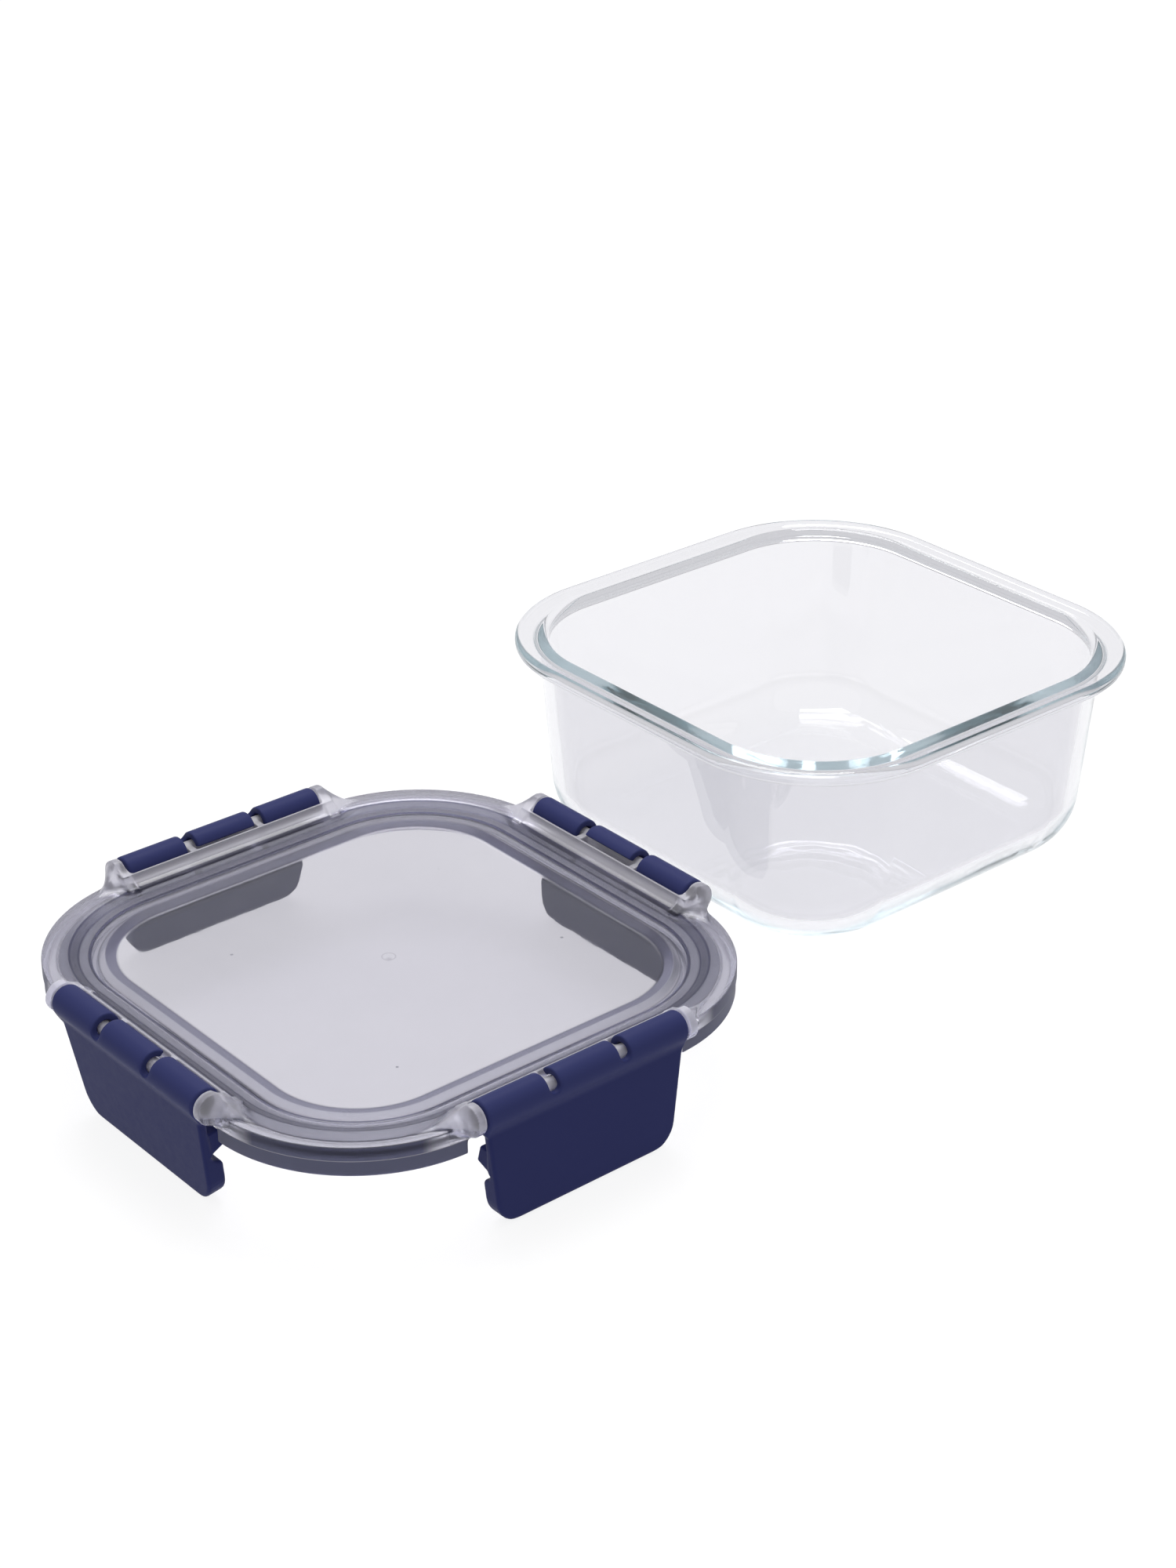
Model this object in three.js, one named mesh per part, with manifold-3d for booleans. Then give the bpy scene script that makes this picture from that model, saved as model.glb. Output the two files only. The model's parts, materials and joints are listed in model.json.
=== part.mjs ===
// Square glass storage container: an open glass bowl, and beside it the clear snap lid,
// right side up on its four hanging latches. Millimetres, +Z up. The origin is the middle of the
// bowl's flat underside, and +X runs from the lid to the bowl.
import * as THREE from "three";
import { mergeVertices } from "three/addons/utils/BufferGeometryUtils.js";
import Module from "manifold-3d";

const wasm = await Module();
wasm.setup();

// ---- driving dimensions ----

// Every outline in the object is one core square grown outward by its corner radius.
const coreHalf = 32.6;
const cornerFacets = 10;

const bowl = {
  height: 63,
  rimHalf: 75,
  rimThickness: 4,
  rimEdge: 1.4,
  mouthHalf: 65.2,
  neckHalf: 68,
  neckRadius: 2.4,
  footHalf: 63,
  footRadius: 17.5,
  floor: 4,
  cavityFootHalf: 60,
  cavityRadius: 14,
};

const lid = {
  centre: [-171, -18.7],
  outerHalf: 76.9,
  edge: 2.2,
  top: 31,
  flangeInnerHalf: 70,
  ledgeHalf: 66.6,
  ledge: 30,
  windowStepHalf: 60,
  windowHalf: 57.5,
  window: 29.2,
  windowUnderside: 27.4,
  plugInnerHalf: 62.6,
  plugOuterHalf: 64.2,
  plugBottom: 24.2,
  grooveCeiling: 28.6,
  grooveOuterHalf: 72.8,
  shoulder: 27,
  skirtInnerHalf: 75.4,
  skirtBottom: 22.7,
  partingLine: 27.1,
  partingStep: 0.25,
};

const hinge = {
  out: 77.7,
  height: 32.5,
  barRadius: 2,
  rollRadius: 4.3,
  boreRadius: 2.4,
  swingClearance: 0.4,
  lugRadius: 4.2,
  lugInner: 31.9,
  lugOuter: 34.4,
  lugFromDegrees: -100,
  lugToDegrees: 106,
  flareEnd: 48,
  flareEndScale: 0.08,
  flarePower: 2.4,
  flareSteps: 7,
  flareAnchor: [71.6, 29.8],
  wallBase: 69.4,
  wallTopInner: 72.4,
  wallTop: 34.1,
  webOffset: 11.1,
  webThickness: 2.2,
  webHalf: 1.7,
  skirtGapHalf: 33.9,
};

const latch = {
  rollHalf: 31.5,
  neckHalf: 30.7,
  neck: -4.4,
  lowerHalf: 28.4,
  lower: -24.5,
  bottomHalf: 20.5,
  length: 32.46,
  outerFace: 2.8,
  innerFace: 0.4,
  lipFace: -2.5,
  lipTop: -20.4,
  hookHalf: 29.2,
  hookTip: -5.8,
  hookTop: -10.6,
  hookNose: -14.8,
  hookRoot: -17.2,
  slotHalfWidth: 1.7,
  slotEnd: 0.2,
};

// How far each latch hangs in towards the lid, in degrees; below zero it hangs outward.
const latchTilts = { front: 0, right: 3, back: -12, left: 8.5 };

const gasketGap = 0.3;
const gasketHeight = 2;
const gasketLip = 0.8;

// How far one joined body sinks into another, so that they fuse.
const sink = 0.3;

const materials = {
  glass: new THREE.MeshStandardMaterial({ color: "#dfe6ea", roughness: 0.03, metalness: 0 }),
  lid: new THREE.MeshStandardMaterial({ color: "#c4c3d2", roughness: 0.08, metalness: 0 }),
  silicone: new THREE.MeshStandardMaterial({ color: "#e4e2ea", roughness: 0.5, metalness: 0 }),
  latch: new THREE.MeshStandardMaterial({ color: "#2f3160", roughness: 0.42, metalness: 0 }),
};

// ---- solids ----

// A closed geometry as a solid that can be joined and cut.
function solidOf(geometry) {
  const bare = geometry.clone();
  bare.deleteAttribute("normal");
  bare.deleteAttribute("uv");
  const merged = mergeVertices(bare, 1e-4);
  const index = merged.index.array;
  const kept = [];
  for (let first = 0; first < index.length; first += 3) {
    const [a, b, c] = [index[first], index[first + 1], index[first + 2]];
    if (a !== b && b !== c && c !== a) {
      kept.push(a, b, c);
    }
  }
  const mesh = new wasm.Mesh({
    numProp: 3,
    vertProperties: new Float32Array(merged.attributes.position.array),
    triVerts: new Uint32Array(kept),
  });
  return new wasm.Manifold(mesh);
}

function meshOf(name, solid, material) {
  const { vertProperties, triVerts } = solid.getMesh();
  const geometry = new THREE.BufferGeometry();
  geometry.setAttribute("position", new THREE.BufferAttribute(vertProperties, 3));
  geometry.setIndex(new THREE.BufferAttribute(triVerts, 1));
  const mesh = new THREE.Mesh(geometry, material);
  mesh.name = name;
  return mesh;
}

// Turns a profile of (half width, height) points around the rounded square. The lathe gives
// the quads; each of its sections then moves to its place on one of the four corner arcs.
function squareTurned(profile) {
  const sectionsPerCorner = cornerFacets + 1;
  const sections = 4 * sectionsPerCorner;
  const geometry = new THREE.LatheGeometry(profile, sections);
  const position = geometry.attributes.position;
  for (let index = 0; index < position.count; index += 1) {
    const point = profile[index % profile.length];
    const section = Math.floor(index / profile.length) % sections;
    const corner = Math.floor(section / sectionsPerCorner);
    const step = section % sectionsPerCorner;
    const cornerMiddle = (corner + 0.5) * Math.PI / 2;
    const angle = (corner + step / cornerFacets) * Math.PI / 2;
    const centre = Math.min(point.x, coreHalf);
    const radius = Math.max(point.x - coreHalf, 0);
    const x = centre * Math.sign(Math.cos(cornerMiddle)) + radius * Math.cos(angle);
    const y = centre * Math.sign(Math.sin(cornerMiddle)) + radius * Math.sin(angle);
    position.setXYZ(index, x, y, point.y);
  }
  return solidOf(geometry);
}

// Extrudes an outline in the (outward, up) plane along X, centred on `middle`.
function alongHinge(outline, length, middle = 0, steps = 1) {
  const geometry = new THREE.ExtrudeGeometry(outline, {
    depth: length, steps, bevelEnabled: false, curveSegments: 6,
  });
  geometry.translate(0, 0, middle - length / 2);
  const toHinge = new THREE.Matrix4().makeBasis(
    new THREE.Vector3(0, 1, 0),
    new THREE.Vector3(0, 0, 1),
    new THREE.Vector3(1, 0, 0),
  );
  return geometry.applyMatrix4(toHinge);
}

function polygon(points) {
  return new THREE.Shape(points.map(([x, y]) => new THREE.Vector2(x, y)));
}

function rod(radius, length, facets) {
  const geometry = new THREE.CylinderGeometry(radius, radius, length, facets);
  return geometry.rotateZ(Math.PI / 2);
}

function block(low, high) {
  const size = high.map((value, axis) => value - low[axis]);
  const geometry = new THREE.BoxGeometry(...size);
  return geometry.translate(...low.map((value, axis) => value + size[axis] / 2));
}

// A part of an annulus as seen along the hinge, from the axis out to `reach`.
function sector(fromDegrees, toDegrees, reach) {
  const middleDegrees = (fromDegrees + toDegrees) / 2;
  const points = [fromDegrees, middleDegrees, toDegrees].map((degrees) => {
    const angle = THREE.MathUtils.degToRad(degrees);
    return [reach * Math.cos(angle), reach * Math.sin(angle)];
  });
  return polygon([[0, 0], ...points]);
}

// ---- glass bowl ----

function bowlProfile() {
  const { height, rimHalf, rimEdge, mouthHalf, neckHalf, neckRadius } = bowl;
  const { footHalf, footRadius, floor, cavityFootHalf, cavityRadius } = bowl;
  const rimUnderside = height - bowl.rimThickness;
  const quarter = Math.PI / 2;
  const path = new THREE.Path();
  path.moveTo(0, 0);
  path.lineTo(footHalf - footRadius, 0);
  path.absarc(footHalf - footRadius, footRadius, footRadius, -quarter, 0, false);
  path.lineTo(neckHalf, rimUnderside - neckRadius);
  path.quadraticCurveTo(neckHalf, rimUnderside, neckHalf + neckRadius, rimUnderside);
  path.lineTo(rimHalf - rimEdge, rimUnderside);
  path.quadraticCurveTo(rimHalf, rimUnderside, rimHalf, rimUnderside + rimEdge);
  path.lineTo(rimHalf, height - rimEdge);
  path.quadraticCurveTo(rimHalf, height, rimHalf - rimEdge, height);
  path.lineTo(mouthHalf + rimEdge, height);
  path.quadraticCurveTo(mouthHalf, height, mouthHalf, height - rimEdge);
  path.lineTo(cavityFootHalf, floor + cavityRadius);
  path.absarc(cavityFootHalf - cavityRadius, floor + cavityRadius, cavityRadius, 0, -quarter, true);
  path.lineTo(0, floor);
  return path.getPoints(2);
}

function makeBowl() {
  return meshOf("glass_bowl", squareTurned(bowlProfile()), materials.glass);
}

// ---- clear lid shell ----

// Up the outside of the skirt, over the flange and down two shallow steps to the window.
function lidProfile() {
  const lowerBand = lid.outerHalf - lid.partingStep;
  const path = new THREE.Path();
  path.moveTo(0, lid.windowUnderside);
  path.lineTo(lid.plugInnerHalf, lid.windowUnderside);
  path.lineTo(lid.plugInnerHalf, lid.plugBottom);
  path.lineTo(lid.plugOuterHalf, lid.plugBottom);
  path.lineTo(lid.plugOuterHalf, lid.grooveCeiling);
  path.lineTo(lid.grooveOuterHalf, lid.grooveCeiling);
  path.lineTo(lid.grooveOuterHalf, lid.shoulder);
  path.lineTo(lid.skirtInnerHalf, lid.shoulder);
  path.lineTo(lid.skirtInnerHalf, lid.skirtBottom);
  path.lineTo(lowerBand, lid.skirtBottom);
  path.lineTo(lowerBand, lid.partingLine);
  path.lineTo(lid.outerHalf, lid.partingLine);
  path.lineTo(lid.outerHalf, lid.top - lid.edge);
  path.quadraticCurveTo(lid.outerHalf, lid.top, lid.outerHalf - lid.edge, lid.top);
  path.lineTo(lid.flangeInnerHalf, lid.top);
  path.lineTo(lid.ledgeHalf, lid.ledge);
  path.lineTo(lid.windowStepHalf, lid.ledge);
  path.lineTo(lid.windowHalf, lid.window);
  path.lineTo(0, lid.window);
  return path.getPoints(2);
}

// The raised wall that carries the hinge, with a curved foot on the flange.
function hingeWall() {
  const shape = new THREE.Shape();
  shape.moveTo(hinge.wallBase, lid.grooveCeiling + sink);
  shape.lineTo(hinge.out, lid.grooveCeiling + sink);
  shape.lineTo(hinge.out, hinge.wallTop);
  shape.lineTo(hinge.wallTopInner, hinge.wallTop);
  shape.quadraticCurveTo(hinge.wallTopInner, lid.top, hinge.wallBase, lid.top);
  return solidOf(alongHinge(shape, 2 * hinge.lugOuter));
}

// An end lug is a round-nosed plate that shrinks in a concave flare into the lid's corner.
function endLug(side) {
  const { flareEnd, flareEndScale, flarePower, flareSteps, flareAnchor } = hinge;
  const flareLength = flareEnd - hinge.lugOuter;
  const lugLength = flareEnd - hinge.lugInner;
  const from = THREE.MathUtils.degToRad(hinge.lugFromDegrees);
  const to = THREE.MathUtils.degToRad(hinge.lugToDegrees);
  const inside = lid.grooveOuterHalf + sink / 2;
  const shape = new THREE.Shape();
  shape.moveTo(hinge.wallBase, lid.grooveCeiling + sink);
  shape.lineTo(inside, lid.grooveCeiling + sink);
  shape.lineTo(inside, lid.shoulder + sink);
  shape.lineTo(lid.outerHalf, lid.partingLine + sink);
  shape.absarc(hinge.out, hinge.height, hinge.lugRadius, from, to, false);
  shape.lineTo(hinge.wallBase, lid.top);
  const geometry = alongHinge(shape, lugLength, hinge.lugInner + lugLength / 2, flareSteps);
  const position = geometry.attributes.position;
  for (let index = 0; index < position.count; index += 1) {
    const along = Math.max(0, (position.getX(index) - hinge.lugOuter) / flareLength);
    const scale = flareEndScale + (1 - flareEndScale) * (1 - along) ** flarePower;
    const out = flareAnchor[0] + (position.getY(index) - flareAnchor[0]) * scale;
    const up = flareAnchor[1] + (position.getZ(index) - flareAnchor[1]) * scale;
    position.setY(index, out);
    position.setZ(index, up);
  }
  const solid = solidOf(geometry);
  return side > 0 ? solid : solid.mirror([1, 0, 0]);
}

// What one side of the lid adds to the plain shell: the wall, two lugs, bar and webs.
function hingeFittings() {
  const swing = rod(hinge.rollRadius + hinge.swingClearance, 2 * hinge.lugInner, 32);
  const wall = hingeWall().subtract(solidOf(swing.translate(0, hinge.out, hinge.height)));
  const bar = rod(hinge.barRadius, 2 * hinge.lugInner + 2, 16);
  const web = polygon([
    [hinge.wallTopInner + sink, hinge.height - hinge.webHalf],
    [hinge.out, hinge.height - hinge.webHalf],
    [hinge.out, hinge.height + hinge.webHalf],
    [hinge.wallTopInner + sink, hinge.wallTop - sink],
  ]);
  let fittings = wall.add(endLug(1)).add(endLug(-1));
  fittings = fittings.add(solidOf(bar.translate(0, hinge.out, hinge.height)));
  for (const side of [-1, 1]) {
    fittings = fittings.add(solidOf(alongHinge(web, hinge.webThickness, side * hinge.webOffset)));
  }
  return fittings;
}

// What one side of the lid loses: room for the latch roll, and the skirt below the hinge.
function hingeClearance() {
  const swing = rod(hinge.rollRadius + hinge.swingClearance, 2 * hinge.lugInner, 32);
  const low = [-hinge.skirtGapHalf, lid.skirtInnerHalf - sink, lid.skirtBottom - 1];
  const high = [hinge.skirtGapHalf, lid.outerHalf + 1, lid.partingLine + sink];
  return solidOf(swing.translate(0, hinge.out, hinge.height)).add(solidOf(block(low, high)));
}

function makeLidShell() {
  let shell = squareTurned(lidProfile());
  const fittings = hingeFittings();
  const clearance = hingeClearance();
  for (const turn of [0, 90, 180, 270]) {
    shell = shell.subtract(clearance.rotate([0, 0, turn])).add(fittings.rotate([0, 0, turn]));
  }
  return meshOf("lid_shell", shell, materials.lid);
}

// ---- silicone gasket ----

function makeGasket() {
  const inner = lid.plugOuterHalf + gasketGap;
  const outer = lid.grooveOuterHalf - gasketGap;
  const top = lid.grooveCeiling - gasketGap;
  const bottom = top - gasketHeight;
  const lip = gasketLip;
  const profile = [
    [inner, bottom + lip], [inner + lip, bottom], [outer - lip, bottom], [outer, bottom + lip],
    [outer, top], [inner, top], [inner, bottom + lip],
  ].map(([half, height]) => new THREE.Vector2(half, height));
  return meshOf("silicone_gasket", squareTurned(profile), materials.silicone);
}

// ---- latches ----
// A latch is made in its hinge's own frame: X along the bar, Y outward, Z up, origin on the axis.

// Side view of the plate: flat outside, a thickened finger lip at the lower inside.
function plateOutline() {
  const { outerFace, innerFace, lipFace, lipTop, length } = latch;
  const shape = new THREE.Shape();
  shape.moveTo(innerFace, -hinge.boreRadius);
  shape.lineTo(innerFace, lipTop + 2);
  shape.quadraticCurveTo(lipFace, lipTop + 1, lipFace, lipTop - 3);
  shape.quadraticCurveTo(lipFace, -length, -0.6, -length);
  shape.lineTo(outerFace - 1.2, -length);
  shape.quadraticCurveTo(outerFace, -length, outerFace, 1.6 - length);
  shape.lineTo(outerFace, -hinge.boreRadius);
  return shape;
}

// Side view of the hook that snaps under the bowl's rim.
function hookOutline() {
  const { innerFace, hookTip, hookTop, hookNose, hookRoot } = latch;
  return polygon([
    [innerFace + 0.5, hookTop], [hookTip + 0.5, hookTop], [hookTip, hookTop - 0.6],
    [hookTip, hookNose + 0.5], [hookTip + 0.5, hookNose], [innerFace + 0.5, hookRoot],
  ]);
}

// Front view: the full-width roll, then a plate that narrows to two rounded corners.
function latchFront() {
  const { rollHalf, neckHalf, neck, lowerHalf, lower, bottomHalf, length } = latch;
  const top = hinge.rollRadius + 1;
  const shape = new THREE.Shape();
  shape.moveTo(-rollHalf, top);
  shape.lineTo(-rollHalf, neck + 1);
  shape.quadraticCurveTo(-rollHalf, neck, -neckHalf, neck - 0.6);
  shape.lineTo(-lowerHalf, lower);
  shape.quadraticCurveTo(-lowerHalf + 0.6, -length, -bottomHalf, -length);
  shape.lineTo(bottomHalf, -length);
  shape.quadraticCurveTo(lowerHalf - 0.6, -length, lowerHalf, lower);
  shape.lineTo(neckHalf, neck - 0.6);
  shape.quadraticCurveTo(rollHalf, neck, rollHalf, neck + 1);
  shape.lineTo(rollHalf, top);
  return shape;
}

// The front view's outline as a solid that reaches right through the latch.
function latchFrontSolid() {
  const reach = 12;
  const geometry = new THREE.ExtrudeGeometry(latchFront(), {
    depth: 2 * reach, bevelEnabled: false, curveSegments: 5,
  });
  return solidOf(geometry.translate(0, 0, -reach).rotateX(Math.PI / 2));
}

// The gap in the roll that clears a web of the lid through the whole swing.
function rollSlot(middle) {
  const { slotHalfWidth, slotEnd } = latch;
  const reach = hinge.rollRadius + 1.6;
  const endCentre = slotEnd + slotHalfWidth;
  const round = new THREE.CylinderGeometry(slotHalfWidth, slotHalfWidth, 2 * reach, 16);
  const upper = block([-slotHalfWidth, -reach, endCentre], [slotHalfWidth, reach, reach]);
  const inner = block([-slotHalfWidth, -reach, -reach], [slotHalfWidth, -0.6, endCentre]);
  let slot = solidOf(round.translate(0, 0, endCentre));
  slot = slot.add(solidOf(upper)).add(solidOf(inner));
  return slot.translate([middle, 0, 0]);
}

// The open side of the clip-on knuckles; the middle knuckle is cut back further.
function rollMouth() {
  const reach = 7;
  const knuckleHalf = hinge.webOffset;
  const full = alongHinge(sector(190, 255, reach), 2 * latch.rollHalf + 2);
  const middle = alongHinge(sector(145, 255, reach), 2 * knuckleHalf);
  return solidOf(full).add(solidOf(middle));
}

function latchSolid() {
  const fullWidth = 2 * latch.rollHalf + 2;
  let solid = solidOf(rod(hinge.rollRadius, fullWidth, 28));
  solid = solid.add(solidOf(alongHinge(plateOutline(), fullWidth))).intersect(latchFrontSolid());
  solid = solid.add(solidOf(alongHinge(hookOutline(), 2 * latch.hookHalf)));
  solid = solid.subtract(solidOf(rod(hinge.boreRadius, fullWidth, 20))).subtract(rollMouth());
  for (const side of [-1, 1]) {
    solid = solid.subtract(rollSlot(side * hinge.webOffset));
  }
  return solid;
}

// One latch in its place: `turn` is the side's angle about Z, `tilt` how far it hangs inward.
function makeLatch(name, solid, turn, tilt) {
  const mesh = meshOf(name, solid, materials.latch);
  mesh.position.set(0, hinge.out, hinge.height);
  mesh.rotation.x = -THREE.MathUtils.degToRad(tilt);
  const side = new THREE.Group();
  side.rotation.z = THREE.MathUtils.degToRad(turn);
  side.add(mesh);
  return side;
}

// ---- assembly ----

const container = new THREE.Group();
container.add(makeBowl());

const lidGroup = new THREE.Group();
lidGroup.position.set(lid.centre[0], lid.centre[1], 0);
lidGroup.add(makeLidShell(), makeGasket());
const latchShape = latchSolid();
lidGroup.add(makeLatch("latch_back", latchShape, 0, latchTilts.back));
lidGroup.add(makeLatch("latch_left", latchShape, 90, latchTilts.left));
lidGroup.add(makeLatch("latch_front", latchShape, 180, latchTilts.front));
lidGroup.add(makeLatch("latch_right", latchShape, 270, latchTilts.right));
container.add(lidGroup);

export default container;
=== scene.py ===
"""Square glass food container: an open glass bowl with its clear snap lid standing beside it.

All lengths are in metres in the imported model's frame. The moulded shapes are worked out in
millimetres first, because that is how such parts are dimensioned, and scaled once at the end.
"""
import json
import math

import bpy
import numpy as np
from mathutils import Matrix, Vector


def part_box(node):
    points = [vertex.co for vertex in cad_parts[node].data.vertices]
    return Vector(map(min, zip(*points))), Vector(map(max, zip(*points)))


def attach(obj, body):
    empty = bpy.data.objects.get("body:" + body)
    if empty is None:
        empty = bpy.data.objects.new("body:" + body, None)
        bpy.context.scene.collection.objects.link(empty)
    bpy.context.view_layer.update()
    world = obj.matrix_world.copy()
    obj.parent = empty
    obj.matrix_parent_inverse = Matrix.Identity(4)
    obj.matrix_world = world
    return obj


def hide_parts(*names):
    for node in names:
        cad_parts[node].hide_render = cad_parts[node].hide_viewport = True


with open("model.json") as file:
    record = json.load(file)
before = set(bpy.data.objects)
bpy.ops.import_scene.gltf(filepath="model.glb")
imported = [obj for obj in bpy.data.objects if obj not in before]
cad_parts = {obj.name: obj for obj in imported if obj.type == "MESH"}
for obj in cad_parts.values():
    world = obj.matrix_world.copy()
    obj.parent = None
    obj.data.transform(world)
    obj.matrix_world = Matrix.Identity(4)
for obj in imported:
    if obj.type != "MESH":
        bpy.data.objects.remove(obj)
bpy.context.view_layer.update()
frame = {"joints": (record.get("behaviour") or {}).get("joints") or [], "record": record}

MM = 0.001

# Every outline is one core square grown outward by its corner radius.
CORE = 32.6

BOWL_LOW, BOWL_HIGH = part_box("glass_bowl")
LID_LOW, LID_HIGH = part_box("lid_shell")
LID_X = (LID_LOW[0] + LID_HIGH[0]) / 2
LID_Y = (LID_LOW[1] + LID_HIGH[1]) / 2

# The hinges in millimetres: the axis out from the lid's middle and up from the floor, the latch
# roll that turns on the bar there, and how far the two webs that hold the bar are from its middle.
HINGE_OUT, HINGE_UP = 77.7, 32.5
ROLL_RADIUS, BAR_RADIUS = 4.3, 2.0
WEB_OFFSET = 11.1


# ---------------------------------------------------------------- profiles

def filleted(corners, closed=False):
    """Points and outward normals along a path whose corners (x, z, radius) are rounded.

    Outward is to the right of the direction of travel.
    """
    count = len(corners)
    points, normals = [], []
    for i, (x, z, radius) in enumerate(corners):
        here = np.array((x, z), float)
        if not closed and i in (0, count - 1):
            other = corners[1] if i == 0 else corners[-2]
            way = (np.array(other[:2]) - here) * (1 if i == 0 else -1)
            way /= np.linalg.norm(way)
            points.append(here)
            normals.append(np.array((way[1], -way[0])))
            continue
        before = here - np.array(corners[i - 1][:2], float)
        after = np.array(corners[(i + 1) % count][:2], float) - here
        before /= np.linalg.norm(before)
        after /= np.linalg.norm(after)
        cross = before[0] * after[1] - before[1] * after[0]
        turn = math.atan2(cross, float(before @ after))
        side = 1 if turn > 0 else -1
        start = here - before * radius * math.tan(abs(turn) / 2)
        centre = start + side * radius * np.array((-before[1], before[0]))
        steps = max(2, int(math.ceil(abs(turn) / math.radians(11))))
        for k in range(steps + 1):
            angle = turn * k / steps
            c, s = math.cos(angle), math.sin(angle)
            way = np.array((before[0] * c - before[1] * s, before[0] * s + before[1] * c))
            normal = np.array((way[1], -way[0]))
            points.append(centre + side * radius * normal)
            normals.append(normal)
    return np.array(points), np.array(normals)


def sections(corner_steps):
    """Base point and outward direction of each section round the rounded square."""
    bases, ways = [], []
    for corner in range(4):
        first = corner * math.pi / 2
        middle = first + math.pi / 4
        base = CORE * math.sqrt(2) * np.array((math.cos(middle), math.sin(middle)))
        for k in range(corner_steps + 1):
            angle = first + k / corner_steps * math.pi / 2
            bases.append(base)
            ways.append((math.cos(angle), math.sin(angle)))
    return np.array(bases), np.array(ways)


def polygon_distance(polygon, x, z):
    """Signed distance from points (x, z) to a closed polygon, negative inside."""
    x, z = np.broadcast_arrays(np.asarray(x, float), np.asarray(z, float))
    nearest = np.full(x.shape, np.inf)
    crossings = np.zeros(x.shape, bool)
    ring = np.asarray(polygon, float)
    for (ax, az), (bx, bz) in zip(ring, np.roll(ring, -1, axis=0)):
        ex, ez = bx - ax, bz - az
        length = ex * ex + ez * ez
        if length < 1e-12:
            continue
        t = np.clip(((x - ax) * ex + (z - az) * ez) / length, 0, 1)
        nearest = np.minimum(nearest, (x - ax - t * ex) ** 2 + (z - az - t * ez) ** 2)
        spans = (az > z) != (bz > z)
        if ez:
            crossings ^= spans & (x < ax + (z - az) * ex / ez)
    return np.where(crossings, -1, 1) * np.sqrt(nearest)


def smooth_min(a, b, radius):
    """Union of two distances, with the inner corner rounded."""
    blend = np.maximum(radius - np.abs(a - b), 0) / radius
    return np.minimum(a, b) - blend * blend * radius / 4


def smooth_max(a, b, radius):
    """Intersection of two distances, with the edge rounded."""
    return -smooth_min(-a, -b, radius)


# ---------------------------------------------------------------- meshes

def make_piece(name, vertices, faces, normals, material, body, node):
    """A mesh object in the frame, from millimetre vertices, that stands for one CAD node."""
    mesh = bpy.data.meshes.new(name)
    mesh.from_pydata((np.asarray(vertices) * MM).tolist(), [], faces)
    mesh.update()
    mesh.shade_smooth()
    mesh.normals_split_custom_set_from_vertices(np.asarray(normals).tolist())
    mesh.materials.append(material)
    piece = bpy.data.objects.new(name, mesh)
    bpy.context.scene.collection.objects.link(piece)
    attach(piece, body)
    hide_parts(node)
    return piece


def loft(points, normals, corner_steps, closed):
    """Vertices, faces and normals of a profile carried round the rounded square."""
    bases, ways = sections(corner_steps)
    rows, columns = len(bases), len(points)
    reach = points[:, 0] - CORE
    vertices = np.zeros((rows, columns, 3))
    vertices[..., :2] = bases[:, None, :] + ways[:, None, :] * reach[None, :, None]
    vertices[..., 2] = points[None, :, 1]
    directions = np.zeros((rows, columns, 3))
    directions[..., :2] = ways[:, None, :] * normals[None, :, :1]
    directions[..., 2] = normals[None, :, 1]
    faces = []
    for row in range(rows):
        after = (row + 1) % rows
        for column in range(columns if closed else columns - 1):
            beside = (column + 1) % columns
            faces.append((row * columns + column, after * columns + column,
                          after * columns + beside, row * columns + beside))
    if not closed:
        faces.append([row * columns for row in reversed(range(rows))])
        faces.append([row * columns + columns - 1 for row in range(rows)])
    return vertices.reshape(-1, 3), faces, directions.reshape(-1, 3)


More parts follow.
